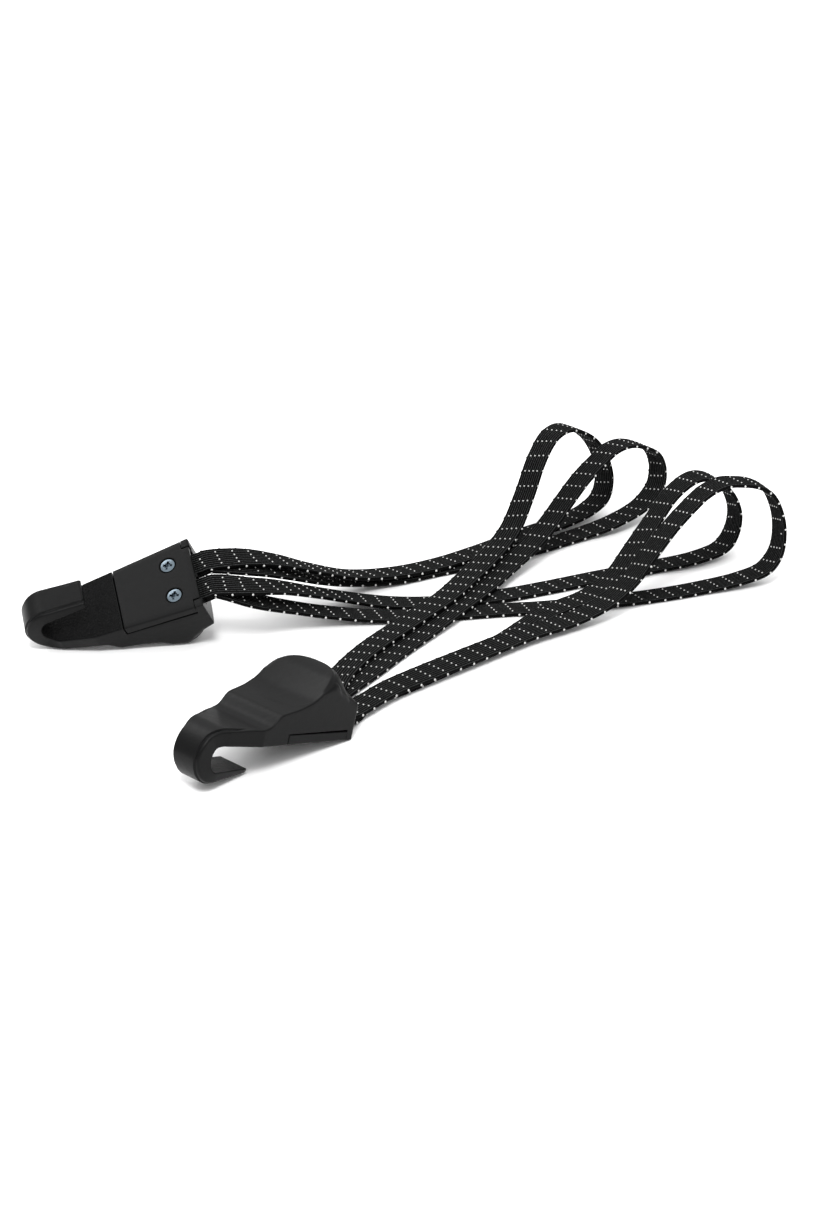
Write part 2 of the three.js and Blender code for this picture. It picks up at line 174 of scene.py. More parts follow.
# Screws
SCREW_X = HOOK_LENGTH - 12.0
SCREW_Y = 8.9
HEAD_RADIUS = 3.4
HEAD_HEIGHT = 1.5
HEAD_SINK = 0.3
SHANK_RADIUS = 1.75
SCREW_LENGTH = 14.0
SCREW_POINT = 1.4
HEAD_DOME = 0.22
THREAD_PITCH = 0.9
THREAD_DEPTH = 0.3

# Bars of the recess in a screw's head: turn in degrees and share of the full size, and how they narrow
DRIVE_BARS = ((20, 1.0), (110, 1.0), (65, 0.5), (155, 0.5))
DRIVE_TAPER = (0.6, 0.7)

# Routes of the free bands, from the far hook to the near one. far and near give the side and the layer
# in each mouth. A row is x, y, z, then the heading and the tilt of the band's width in degrees.
ROUTES = {
    "band_a": {
        "far": (-1, 0),
        "near": (1, 1),
        "route": [
            (24, 72, 36, 114, 17), (39, 79, 31, 122, 9), (55.5, 91, 21, 127, 3),
            (73, 105, 11, 127, 0), (94, 119, 5.5, 128, 0), (114.5, 132, 3.8, 130, 0),
            (136, 147.5, 3.8, 132, 0), (159.5, 167.5, 3.8, 134, 0), (175.5, 179, 4, 136, 0),
            (189, 192, 5, 136, 0), (196, 199, 9, 136, 0), (198, 201, 18, 136, 0),
            (196, 199, 29.5, 136, 0), (190, 193, 42.5, 136, 0), (182.5, 185.5, 51, 136, 0),
            (175, 178, 55.5, 136, 0), (168, 170.5, 54, 136, 0), (162, 164, 45, 136, 0),
            (156, 158, 28.5, 138, 0), (149, 148.5, 14.5, 142, 0), (138.5, 129, 9.5, 150, 0),
            (127.5, 109.5, 7.5, 150, 0), (117, 90.5, 6.7, 148, 0), (108.5, 78.5, 6.3, 146, 0),
            (97.5, 65, 5, 144, 0), (81, 42.5, 4, 145, 0), (69.5, 19, 3.9, 151, 0),
        ],
    },
    "band_b": {
        "far": (-1, 1),
        "near": (1, 0),
        "route": [
            (29, 71.5, 31, 115, 15), (42, 80.5, 24, 121, 8), (56.5, 94.5, 14, 124, 3),
            (73, 109.5, 5.5, 122, 0), (93.5, 120, 2, 119, 0), (114.5, 131, 1.3, 116, 0),
            (136, 140, 1.3, 115, 0), (159, 153, 1.3, 120, 0), (184.5, 169.5, 2, 122, 0),
            (201, 177.5, 5, 130, 0), (217, 192, 8.5, 132, 0), (223.5, 197.5, 15.5, 132, 0),
            (224.5, 198.5, 25, 132, 0), (221.5, 195.5, 34.5, 132, 0), (215, 189.5, 41, 132, 0),
            (206, 182, 45.5, 132, 0), (198.5, 175, 45.5, 132, 0), (192, 169.5, 41.5, 132, 0),
            (183.5, 161.5, 35.5, 133, 0), (175, 154, 26.5, 134, 0), (168, 148, 18.5, 136, 0),
            (158.5, 139, 10.5, 140, 0), (145.5, 122.5, 5.5, 146, 0),
            (133.5, 102.5, 4.2, 148, 0), (118.5, 79, 3.8, 147, 0), (109.5, 66.5, 2.6, 145, 0),
            (95.5, 47, 1.5, 146, 0), (82, 25.5, 1.5, 148, 0), (69.5, 6, 1.5, 147, 0),
        ],
    },
    "band_c": {
        "far": (1, 0),
        "near": (-1, 0),
        "route": [
            (27, 56.5, 29, 110, 16), (40, 65.5, 24, 118, 9), (55.5, 78.5, 15, 120, 3),
            (72, 89.5, 6.5, 112, 0), (90.5, 92.5, 2.5, 100, 0), (114, 95, 1.3, 98, 0),
            (143, 102, 1.3, 109, 0), (164.5, 110.5, 1.3, 112, 0), (191.5, 122.5, 1.3, 113, 0),
            (217.5, 133, 1.5, 112, 0), (240, 141, 3, 114, 0), (252.5, 148, 5.5, 118, 0),
            (257, 150, 12, 118, 0), (258.5, 151, 21.5, 118, 0), (256.5, 150, 30, 118, 0),
            (251.5, 147, 38.5, 118, 0), (243.5, 143, 45, 118, 0), (235.5, 138.5, 46.5, 118, 0),
            (225.5, 133.5, 40.5, 119, 0), (216.5, 128, 29, 122, 0), (206, 117, 17.5, 130, 0),
            (197, 107.5, 8.5, 134, 0), (185, 96, 4.8, 130, 0), (170.5, 85, 3.9, 130, 0),
            (163, 78.5, 3.5, 131, 0), (154.5, 70.4, 1.6, 134, 0), (147, 60.3, 1.4, 138, 0),
            (136.5, 48, 1.3, 136, 0), (114, 27.5, 1.3, 132, 0), (96.5, 11.3, 1.3, 136, 0),
            (80, -3, 1.5, 142, 0),
        ],
    },
    "band_d": {
        "far": (1, 1),
        "near": (-1, 1),
        "route": [
            (27.5, 57.5, 21.5, 110, 14), (44.5, 67, 13, 114, 6), (63.5, 75, 6, 107, 2),
            (89, 79.5, 1.8, 99, 0), (114, 82.5, 1.3, 97, 0), (142.5, 87, 1.3, 97, 0),
            (162.5, 89.5, 1.3, 99, 0), (199.5, 97.5, 1.3, 104, 0), (219, 103, 1.3, 108, 0),
            (238.5, 110, 1.6, 109, 0), (259, 116, 4, 112, 0), (270, 119.5, 7.5, 114, 0),
            (275.5, 122, 15, 114, 0), (276.5, 122.5, 27.5, 114, 0), (274, 121.5, 39, 114, 0),
            (269, 119, 48.5, 114, 0), (262, 116, 53.5, 114, 0), (254, 112.5, 56, 114, 0),
            (246.5, 109, 57, 114, 0), (238, 105.5, 54, 114, 0), (230.5, 102, 48, 115, 0),
            (222, 98, 39.5, 116, 0), (212.5, 93, 28, 118, 0), (203, 87.5, 16.5, 121, 0),
            (191.5, 81, 8.5, 122, 0), (174.5, 70.5, 4.5, 123, 0), (154, 57, 4.5, 127, 4),
            (123.5, 31.5, 4.7, 130, 9), (107.5, 18, 4.7, 131, 9), (90, 2.5, 4.5, 136, 6),
        ],
    },
}


# Grain of each surface: grains per metre, height in metres and detail, for each layer
HOOK_GRAINS = ((2600, 0.00003, 0.6), (300, 0.00008, 0.5))
INNER_GRAINS = ((1300, 0.0012, 0.6), (2600, 0.0001, 0.6))
INNER_SHINE = 0.06
COVER_GRAINS = ((2600, 0.00002, 0.6), (260, 0.00005, 0.5))
SCREW_GRAINS = ((900, 0.00006, 0.6),)
CLIP_GRAINS = ((500, 0.00004, 0.5),)
THREAD_GRAINS = ((3000, 0.00005, 0.5),)

# Studio: where each soft light stands from the point looked at, and its size
KEY_AT, KEY_SIZE = (-1.0, 0.9, 1.1), 0.8
FRONT_AT, FRONT_SIZE = (-0.1, -0.8, 1.1), 0.35
FLOOR_HALF = 8.0
FLOOR_DROP = 0.0001
HORIZON = (0.2, 0.8)


# Small sums
def lerp(a, b, t):
    return a + (b - a) * t


def clamp(v, low, high):
    return max(low, min(high, v))


def smoothstep(v, low, high):
    t = clamp((v - low) / (high - low), 0.0, 1.0)
    return t * t * (3 - 2 * t)


def along(line, x):
    """Height of a line of (x, height) points at x."""
    if x <= line[0][0]:
        return line[0][1]
    for (x0, z0), (x1, z1) in zip(line, line[1:]):
        if x <= x1:
            return lerp(z0, z1, (x - x0) / (x1 - x0))
    return line[-1][1]


def soft_along(line, x, reach):
    """The same with its corners rounded over a reach to each side."""
    shares = [k / 4 for k in range(-4, 5)]
    return sum(along(line, x + reach * s) for s in shares) / len(shares)


def arc(y, h, radius, start, end, steps):
    """Points of an arc in a section, angles in degrees from the +y direction."""
    turns = [math.radians(lerp(start, end, k / steps)) for k in range(steps + 1)]
    return [(y + radius * math.cos(a), h + radius * math.sin(a)) for a in turns]


def hook_matrix(name):
    """A hook's place, from its own frame to the part's, in millimetres."""
    yaw, pitch, roll = (math.radians(a) for a in HOOKS[name]["turn"])
    turn = (
        Matrix.Rotation(yaw, 4, "Z")
        @ Matrix.Rotation(-pitch, 4, "Y")
        @ Matrix.Rotation(roll, 4, "X")
    )
    return Matrix.Translation(Vector(HOOKS[name]["at"])) @ turn


# Meshes
def loft(rings, lengths=None, across=None):
    """A closed body through equal rings of points: a grid with columns that go round and a row for each
    ring. Its UV, if it gets lengths, is each column's share across and each row's length."""
    around, rows = len(rings[0]), len(rings)
    bm = bmesh.new()
    bmesh.ops.create_grid(bm, x_segments=around, y_segments=rows - 1, size=1.0)
    uv = bm.loops.layers.uv.new("UVMap")
    places = {}
    for v in bm.verts:
        column = round((v.co.x + 1) / 2 * around)
        row = round((v.co.y + 1) / 2 * (rows - 1))
        places[v] = (column, row)
    if lengths:
        for face in bm.faces:
            for loop in face.loops:
                column, row = places[loop.vert]
                loop[uv].uv = (across[column % around], lengths[row])
    firsts = {row: v for v, (column, row) in places.items() if column == 0}
    lasts = {v: firsts[row] for v, (column, row) in places.items() if column == around}
    for v, (column, row) in places.items():
        v.co = rings[row][column % around]
    bmesh.ops.weld_verts(bm, targetmap=lasts)
    bmesh.ops.holes_fill(bm, edges=[e for e in bm.edges if e.is_boundary], sides=0)
    bmesh.ops.recalc_face_normals(bm, faces=bm.faces)
    return bm


def turned(profile, x, y, steps=40):
    """A turned piece about the vertical through (x, y), with its profile as (radius, z)."""
    turns = [2 * math.pi * k / steps for k in range(steps)]
    rings = [
        [Vector((x + r * math.cos(a), y + r * math.sin(a), z)) for a in turns] for r, z in profile
    ]
    return loft(rings)


def block(low, high, bevel=0.0):
    """A box between two corners, with rounded edges if it has a bevel."""
    low, high = Vector(low), Vector(high)
    size = high - low
    place = Matrix.Translation((low + high) / 2) @ Matrix.Diagonal((*size, 1.0))
    bm = bmesh.new()
    bmesh.ops.create_cube(bm, size=1.0, matrix=place)
    if bevel:
        bmesh.ops.bevel(
            bm, geom=bm.edges[:], offset=bevel, segments=2, profile=0.5, affect="EDGES", material=-1
        )
    return bm


def to_object(name, bm, materials):
    """A new object from a bmesh, which is freed."""
    mesh = bpy.data.meshes.new(name)
    bm.to_mesh(mesh)
    bm.free()
    for material in materials:
        mesh.materials.append(material)
    obj = bpy.data.objects.new(name, mesh)
    bpy.context.scene.collection.objects.link(obj)
    return obj


def cut(obj, cutters):
    """Takes each cutter bmesh out of the object."""
    for bm in cutters:
        tool = to_object("cutter", bm, [])
        change = obj.modifiers.new("cut", "BOOLEAN")
        change.operation = "DIFFERENCE"
        change.solver = "EXACT"
        change.object = tool
        graph = bpy.context.evaluated_depsgraph_get()
        made = bpy.data.meshes.new_from_object(obj.evaluated_get(graph))
        obj.modifiers.clear()
        old, obj.data = obj.data, made
        bpy.data.meshes.remove(old)
        shape = tool.data
        bpy.data.objects.remove(tool)
        bpy.data.meshes.remove(shape)


def add_to(obj, bodies):
    """Adds separate bodies to the object's mesh."""
    bm = bmesh.new()
    bm.from_mesh(obj.data)
    for extra in bodies:
        mesh = bpy.data.meshes.new("extra")
        extra.to_mesh(mesh)
        extra.free()
        bm.from_mesh(mesh)
        bpy.data.meshes.remove(mesh)
    bm.to_mesh(obj.data)
    bm.free()


def shade(obj, angle):
    """Smooth shading, but for edges sharper than the angle in degrees."""
    obj.data.shade_smooth()
    obj.data.set_sharp_from_angle(angle=math.radians(angle))


def ease(obj, width):
    """Rounds the sharp edges of a moulded piece a little."""
    bevel = obj.modifiers.new("edges", "BEVEL")
    bevel.width = width
    bevel.segments = 2
    bevel.limit_method = "ANGLE"
    bevel.angle_limit = math.radians(EASE_ANGLE)
    bevel.harden_normals = True


def lay(obj, hook):
    """Takes a piece from its hook's own frame in millimetres to its place in metres."""
    obj.data.transform(Matrix.Scale(MM, 4) @ hook_matrix(hook))
    obj.data.update()


def fit(obj, hook, node):
    """Puts a finished piece where its hook is, in place of its plain node."""
    lay(obj, hook)
    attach(obj, hook + "_hook")
    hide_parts(node)


# Materials
def new_material(name):
    material = bpy.data.materials.new(name)
    material.use_nodes = True
    nodes = material.node_tree.nodes
    return material, nodes, material.node_tree.links, nodes["Principled BSDF"]


def noise_bump(nodes, links, shader, grains):
    """Bump from layers of noise on Object coordinates."""
    where = nodes.new("ShaderNodeTexCoord")
    last = None
    for scale, height, rough in grains:
        noise = nodes.new("ShaderNodeTexNoise")
        noise.inputs["Scale"].default_value = scale
        noise.inputs["Detail"].default_value = 3.0
        noise.inputs["Roughness"].default_value = rough
        links.new(where.outputs["Object"], noise.inputs["Vector"])
        bump = nodes.new("ShaderNodeBump")
        bump.inputs["Distance"].default_value = height
        bump.inputs["Strength"].default_value = 1.0
        links.new(noise.outputs["Fac"], bump.inputs["Height"])
        if last:
            links.new(last.outputs["Normal"], bump.inputs["Normal"])
        last = bump
    links.new(last.outputs["Normal"], shader.inputs["Normal"])


def plastic(name, colour, roughness, grains, shine=0.12):
    material, nodes, links, shader = new_material(name)
    shader.inputs["Base Color"].default_value = colour
    shader.inputs["Roughness"].default_value = roughness
    shader.inputs["IOR"].default_value = 1.46
    shader.inputs["Specular IOR Level"].default_value = shine
    noise_bump(nodes, links, shader, grains)
    return material


def metal(name, colour, roughness, grains):
    material, nodes, links, shader = new_material(name)
    shader.inputs["Base Color"].default_value = colour
    shader.inputs["Metallic"].default_value = 1.0
    shader.inputs["Roughness"].default_value = roughness
    noise_bump(nodes, links, shader, grains)
    return material


def elastic(name, dark, light, ribs):
    """Knitted elastic: UV runs across the band and along its length, both in band widths."""
    material, nodes, links, shader = new_material(name)
    shader.inputs["Roughness"].default_value = 0.75
    shader.inputs["Specular IOR Level"].default_value = 0.06

    def sum_of(kind, a, b, c=0.0):
        node = nodes.new("ShaderNodeMath")
        node.operation = kind
        for socket, value in zip(node.inputs, (a, b, c)):
            if isinstance(value, bpy.types.NodeSocket):
                links.new(value, socket)
            else:
                socket.default_value = value
        return node.outputs["Value"]

    where = nodes.new("ShaderNodeTexCoord")
    split = nodes.new("ShaderNodeSeparateXYZ")
    links.new(where.outputs["UV"], split.inputs["Vector"])
    # Painted highlight and shade: rib runs from 0 in the valleys between the ribs to 0.5 on their tops
    rib = sum_of("PINGPONG", sum_of("MULTIPLY", split.outputs["X"], float(ribs)), 0.5)
    spread = nodes.new("ShaderNodeMapping")
    spread.inputs["Scale"].default_value = (30.0, 12.0, 1.0)
    links.new(where.outputs["UV"], spread.inputs["Vector"])
    fleck = nodes.new("ShaderNodeTexNoise")
    fleck.inputs["Scale"].default_value = 1.5
    fleck.inputs["Detail"].default_value = 2.0
    links.new(spread.outputs["Vector"], fleck.inputs["Vector"])
    flecks = sum_of("MULTIPLY_ADD", fleck.outputs["Fac"], 0.9, -0.35)
    # The ramp paints shade in the valleys with the dark colour and a highlight on the rib tops with the
    # light one, over random flecks of the elastic's own tone
    rib_shade_and_fleck = sum_of("MULTIPLY_ADD", rib, 1.3, flecks)
    ramp = nodes.new("ShaderNodeValToRGB")
    ramp.color_ramp.elements[0].position = 0.5
    ramp.color_ramp.elements[0].color = dark
    ramp.color_ramp.elements[1].position = 0.85
    ramp.color_ramp.elements[1].color = light
    links.new(rib_shade_and_fleck, ramp.inputs["Fac"])
    links.new(ramp.outputs["Color"], shader.inputs["Base Color"])
    fuzz = nodes.new("ShaderNodeBump")
    fuzz.inputs["Distance"].default_value = 0.00035
    links.new(fleck.outputs["Fac"], fuzz.inputs["Height"])
    links.new(fuzz.outputs["Normal"], shader.inputs["Normal"])
    return material


def material(name):
    """The material of that name, made the first time that it is asked for."""
    scene = bpy.context.scene
    bands, hooks, screws = scene.strap_bands, scene.strap_hooks, scene.strap_screws
    smooth = hooks.roughness
    makers = {
        "hook_plastic": lambda: plastic(name, hooks.colour, smooth, HOOK_GRAINS),
        "hook_grained": lambda: plastic(name, hooks.colour, smooth, INNER_GRAINS, INNER_SHINE),
        "cover_plastic": lambda: plastic(name, hooks.cover_colour, smooth, COVER_GRAINS),
        "zinc_screw": lambda: metal(name, screws.colour, 0.28, SCREW_GRAINS),
        "clip_steel": lambda: metal(name, screws.clip_colour, 0.35, CLIP_GRAINS),
        # The elastic's colour holds painted shade in its valleys and a painted highlight on its rib
        # tops
        "knit_elastic": lambda: elastic(name, bands.valley_painted_shade, bands.colour, bands.ribs),
        "light_thread": lambda: plastic(name, bands.dot_colour, 0.8, THREAD_GRAINS),
        "dark_thread": lambda: plastic(name, bands.nub_colour, 0.9, THREAD_GRAINS),
    }
    return bpy.data.materials.get(name) or makers[name]()


# Hook sections
def half_width(x):
    return along(WIDTH_LINE, x)


def back_height(x, y):
    """Height of the hook's back: the thumb pad, its dome and the arched sides behind its rim."""
    half = half_width(x)
    back = HOOK_LENGTH - x
    pad = soft_along(PAD_LINE, back, SOFTEN)
    aside = pad if x < PAD_X else soft_along(SIDE_LINE, back, SOFTEN)
    crown = pad if x < PAD_X else soft_along(CROWN_LINE, back, SOFTEN)
    beyond = max(0.0, x - PAD_X)
    rim_y = PAD_HALF * math.sqrt(max(0.0, 1 - (beyond / PAD_RADIUS) ** 2))
    share = clamp((abs(y) - rim_y) / max(GAP, half - rim_y), 0.0, 1.0)
    arch = lerp(crown, aside, share**ARCH_POWER)
    inward = y * PAD_RADIUS / PAD_HALF
    away = math.hypot(x - PAD_X, inward) / PAD_RADIUS
    outside = math.hypot(beyond, inward) - PAD_RADIUS
    dish = PAD_DISH * max(0.0, 1 - away**2) if x > SEAM_X else 0.0
    return lerp(pad - dish, arch, smoothstep(outside, -RIM_SLOPE, 0.0))


def half_ring(half, top, floor, wall, ledge, foot, brow):
    """Half of a hook's section, from mid inner face round the side to the middle of its back."""
    way = 0.25 * ((ledge > floor) - (ledge < floor))
    ring = [(lerp(0.0, wall - WALL_ROUND, k / 8), floor) for k in range(9)]
    ring += [(wall, floor + way), (wall, ledge - way), (wall + WALL_ROUND, ledge)]
    ring += [(lerp(wall + WALL_ROUND, half - foot, 0.5), ledge)]
    ring += arc(half - foot, ledge + foot, foot, -90, 0, 5)
    fall = (top(half - brow) - top(half - brow / 2)) / (brow / 2)
    end = math.pi / 2 - math.atan(clamp(fall, 0.0, 3.0))
    meet = half - brow * (1 - math.cos(end))
    centre = top(meet) - brow * math.sin(end)
    ring += [(half, lerp(ledge + foot, centre, k / 7)) for k in range(1, 7)]
    ring += arc(half - brow, centre, brow, 0, math.degrees(end), 8)
    inner = [meet * (1 - k / 40) for k in range(1, 41)]
    return ring + [(y, top(y)) for y in inner]


def whole_ring(half, place):
    """Both halves of a section, each point put in its place."""
    both = half + [(-y, h) for y, h in reversed(half[1:-1])]
    return [place(y, h) for y, h in both]


def body_ring(x, inset=0.0):
    """Section of the hook between its mouth and its bend."""
    wide = half_width(x)
    half = wide - inset
    if x < SEAM_X + TINY:
        drop = max(0.0, x - (SEAM_X - SEAM_ROUND))
        floor = ledge = SEAM_ROUND - math.sqrt(max(0.0, SEAM_ROUND**2 - drop**2))
        wall = wide - FLANGE_THICK - GAP
    elif x < NOTCH_X + TINY - GAP:
        floor, ledge, wall = COVER_THICK + GAP, FLANGE_HEIGHT + GAP, wide - FLANGE_THICK - GAP
    else:
        floor, ledge, wall = COVER_THICK + GAP + inset, inset, NOTCH_HALF + inset
    foot = clamp(FOOT - inset, WALL_ROUND, FOOT) if x < SEAM_X or ledge < 2 else WALL_ROUND
    fall = 1 - DOME_FALL * smoothstep(x, HOOK_LENGTH - DOME_END, HOOK_LENGTH)
    dome = smoothstep(x, PAD_X, PAD_X + DOME_START) * fall
    brow = max(WALL_ROUND, lerp(BROW, DOME_BROW, dome) - inset)
    edge = panel_share(x)

    def top(y):
        return back_height(x, y) - inset - panel_drop(y, half, edge)

    half_points = half_ring(half, top, floor, wall, ledge, foot, brow)
    return whole_ring(half_points, lambda y, h: Vector((x, y, h)))


def panel_share(x):
    """The raised panel of the J's outer face fades out on the strip behind the bend."""
    return 1 - smoothstep(x, BEND_X + PANEL_FADE[0], BEND_X + PANEL_FADE[1])


def panel_drop(y, half, share):
    """How far the strips along the edges lie below the raised panel."""
    settings = bpy.context.scene.strap_hooks
    margin = settings.edge_strip / MM
    rise = smoothstep(abs(y) - (half - margin), -PANEL_ROUND, PANEL_ROUND)
    return share * settings.edge_step / MM * rise


def wrap_ring(x, z, out, half, thick, draft):
    """Section of the bend or the lip, out from the J's inner face and narrower by the draft outside."""
    half = max(half, 1.0)

    def top(y):
        return thick - panel_drop(y, half, 1.0)

    limit = WRAP_ROUND_SHARE * thick
    foot, brow = min(FOOT, limit), min(WRAP_BROW, limit)
    half_points = half_ring(half, top, 0.0, half - WRAP_WALL, 0.0, foot, brow)
    half_points = [(y * (1 - draft / half * h / thick), h) for y, h in half_points]
    return whole_ring(half_points, lambda y, h: Vector((x + out[0] * h, y, z + out[1] * h)))


def bend_ring(turn):
    """Section of the bend, turn from 0 at the shank to 1 at the lip."""
    angle = math.pi * (0.5 + turn)
    if turn < 0.5:
        thick = lerp(STRIP_THICK, BEND_THICK, 2 * turn)
    else:
        thick = lerp(BEND_THICK, LIP_THICK, 2 * turn - 1)
    out = (math.cos(angle), math.sin(angle))
    x = BEND_X + BEND_REACH * out[0]
    z = THROAT / 2 * (out[1] - 1)
    half = half_width(x + thick * out[0]) if turn < 0.5 else WAIST_HALF
    return wrap_ring(x, z, out, half, thick, WRAP_DRAFT * min(1.0, 2 * turn))


def lip_ring(share, rounding):
    """Section of the lip, share from 0 at the bend to 1 at the tip, which is rounded off."""
    trim = TIP_ROUND * (1 - math.cos(rounding * math.pi / 2))
    reach = TIP_ROUND * math.sin(rounding * math.pi / 2)
    thick = lerp(LIP_THICK, TIP_THICK, share) - 2 * trim
    half = lerp(WAIST_HALF, TIP_HALF, share) - trim
    x = BEND_X + share * LIP_LENGTH + reach
    z = lerp(-THROAT, -TIP_OPENING, share) - trim
    return wrap_ring(x, z, (0.0, -1.0), half, thick, WRAP_DRAFT)


def spaced(start, end, step):
    """Even places from the start up to, but not at, the end."""
    count = max(1, round(abs(end - start) / step))
    return [lerp(start, end, k / count) for k in range(count)]


def rounded_end(ring, x, radius, turns):
    """Rings round a piece's end, made by ring(x, inset), for turns from 0 inside to 1 at the face."""
    angles = [math.pi / 2 * turn for turn in turns]
    return [ring(x + radius * math.sin(a), abs(radius) * (1 - math.cos(a))) for a in angles]


def body_rings():
    """Rings of the hook body from its mouth over the bend to the tip of its lip."""
    round_end = 1.0
    rings = rounded_end(body_ring, HOOK_LENGTH - round_end, round_end, [1 - k / 6 for k in range(7)])
    places = spaced(HOOK_LENGTH - round_end, NOTCH_X, 0.45)[1:] + [NOTCH_X]
    places += [NOTCH_X - GAP - 10 * TINY]
    places += spaced(NOTCH_X - GAP - 0.4, SEAM_X + 0.4, 0.45) + [SEAM_X + 10 * TINY, SEAM_X]
    places += [SEAM_X - 0.05, SEAM_X - 0.12, SEAM_X - 0.22, SEAM_X - SEAM_ROUND]
    places += spaced(SEAM_X - 0.8, BEND_X, 0.5)
    rings += [body_ring(x) for x in places]
    rings += [bend_ring(k / 48) for k in range(49)]
    rings += [lip_ring(k / 20, 0.0) for k in range(1, 21)]
    rings += [lip_ring(1.0, k / 5) for k in range(1, 6)]
    return rings


def cover_ring(x, inset=0.0):
    """Section of the cover: a plate with a flange at each side, and a plain tongue at the mouth."""
    tongue = x > NOTCH_X - GAP + TINY
    half = (NOTCH_HALF - 2 * GAP if tongue else half_width(x)) - inset
    foot = clamp(TONGUE_FOOT if tongue else COVER_FOOT - inset, 0.2, COVER_FOOT)
    thick = COVER_THICK - inset
    slack = lerp(*FLANGE_SLACK, (x - SEAM_X) / (NOTCH_X - SEAM_X))
    lip_top = thick if tongue else FLANGE_HEIGHT - slack - inset
    lip = half - TONGUE_LIP if tongue else half_width(x) - FLANGE_THICK + inset
    corner = FLANGE_ROUND
    ring = [(lerp(0.0, half - foot, k / 8), inset) for k in range(8)]
    ring += arc(half - foot, inset + foot, foot, -90, 0, 5)
    ring += [(half, lerp(inset + foot, lip_top - corner, k / 4)) for k in range(1, 5)]
    ring += [(half - corner, lip_top), (lip + corner, lip_top), (lip, max(thick, lip_top - corner))]
    ring += [(lip * (1 - k / 8), thick) for k in range(9)]
    return whole_ring(ring, lambda y, h: Vector((x, y, h)))


def cover_rings():
    """Rings of the cover from the end of its tongue to the seam."""
    round_end = 0.35
    step = NOTCH_X - GAP
    start = SEAM_X + GAP + 0.2 + round_end
    rings = rounded_end(cover_ring, COVER_END - round_end, round_end, [1 - k / 4 for k in range(5)])
    places = [step + 10 * TINY, step - 10 * TINY] + spaced(step - 1.0, start, 1.5)
    rings += [cover_ring(x) for x in places]
    return rings + rounded_end(cover_ring, start, -round_end, [k / 4 for k in range(5)])


# Band paths
def headed(heading, tilt):
    """Direction of a band's width."""
    level = math.cos(math.radians(tilt))
    a = math.radians(heading)
    return Vector((level * math.cos(a), level * math.sin(a), math.sin(math.radians(tilt))))


def spline_point(points, t):
    """A centripetal Catmull-Rom curve through the points, t from 0 to 1 over even shares of them."""
    last = len(points) - 1
    i = min(int(t * last), last - 1)
    w = t * last - i
    p1, p2 = points[i], points[i + 1]
    p0 = points[i - 1] if i > 0 else 2 * points[0] - points[1]
    p3 = points[i + 2] if i + 2 <= last else 2 * points[-1] - points[-2]
    d0, d1, d2 = (math.sqrt((b - a).length) for a, b in ((p0, p1), (p1, p2), (p2, p3)))
    if d1 < TINY:
        d1 = 1.0
    d0 = d0 if d0 >= TINY else d1
    d2 = d2 if d2 >= TINY else d1
    m1 = ((p1 - p0) / d0 - (p2 - p0) / (d0 + d1) + (p2 - p1) / d1) * d1
    m2 = ((p2 - p1) / d1 - (p3 - p1) / (d1 + d2) + (p3 - p2) / d2) * d1
    return (
        p1 + m1 * w + (3 * p2 - 3 * p1 - 2 * m1 - m2) * w**2 + (2 * p1 - 2 * p2 + m1 + m2) * w**3
    )


def exit_stations(hook, side, layer, lead, towards):
    """Points and widths of a band on its straight way out of a mouth."""
    matrix = hook_matrix(hook)
    width = (matrix.to_3x3() @ Vector((0, 1, 0))).normalized()
    width *= math.copysign(1.0, width.dot(towards))
    start = HOOK_LENGTH + GAP
    places = [start, start + lead / 2, start + lead]
    height = LAYER_Z + LAYER_PITCH * layer
    return [(matrix @ Vector((x, side * GROUP_Y, height)), width) for x in places]


def band_line(name, step):
    """Frames along a free band, in millimetres: (length so far, point, width way, face way)."""
    row = ROUTES[name]
    middle = [(Vector(p[:3]), headed(p[3], p[4])) for p in row["route"]]
    stations = exit_stations("far", *row["far"], FAR_LEAD, middle[0][1]) + middle
    stations += reversed(exit_stations("near", *row["near"], NEAR_LEAD, middle[-1][1]))
    points = [s[0] for s in stations]
    widths = [s[1] for s in stations]
    curve = [spline_point(points, k / CURVE_STEPS) for k in range(CURVE_STEPS + 1)]
    reach = [0.0]
    for a, b in zip(curve, curve[1:]):
        reach.append(reach[-1] + (b - a).length)
    total = reach[-1]
    steps = round(total / step / 2) * 2
    frames, k = [], 0
    for i in range(steps + 1):
        goal = total * i / steps
        while k < CURVE_STEPS - 1 and reach[k + 1] < goal:
            k += 1
        t = (k + (goal - reach[k]) / (reach[k + 1] - reach[k])) / CURVE_STEPS
        ahead, behind = min(1.0, t + CURVE_NUDGE), max(0.0, t - CURVE_NUDGE)
        tangent = (spline_point(points, ahead) - spline_point(points, behind)).normalized()
        width = spline_point(widths, t)
        width = (width - tangent * width.dot(tangent)).normalized()
        frames.append((goal, spline_point(points, t), width, tangent.cross(width)))
    return frames


def rib_height(y, half_wide, half_thick, ribs, depth):
    """Half thickness of a ribbed band at y across it: a lobe for each rib, and full round edges."""
    pitch = 2 * half_wide / ribs
    off = (y + half_wide) / pitch
    off = abs(off - math.floor(off) - 0.5) * 2
    lobe = math.sqrt(max(0.0, 1 - off**2))
    edge = math.sqrt(max(0.0, 1 - max(0.0, (abs(y) - half_wide + half_thick) / half_thick) ** 2))
    return min(half_thick - depth * (1 - lobe), half_thick * edge)


def band_section():
    """Section of a band as (across, out), in millimetres."""
    s = bpy.context.scene.strap_bands
    half_wide, half_thick = s.width / 2 / MM, s.thickness / 2 / MM
    count = s.ribs * SECTION_STEPS
    across = [-half_wide * math.cos(math.pi * k / count) for k in range(count + 1)]
    even = [lerp(-half_wide, half_wide, k / count) for k in range(count + 1)]
    across = [lerp(a, b, EVEN_SHARE) for a, b in zip(across, even)]
    top = [(y, rib_height(y, half_wide, half_thick, s.ribs, s.rib_depth / MM)) for y in across]
    return top + [(y, -h) for y, h in reversed(top[1:-1])]


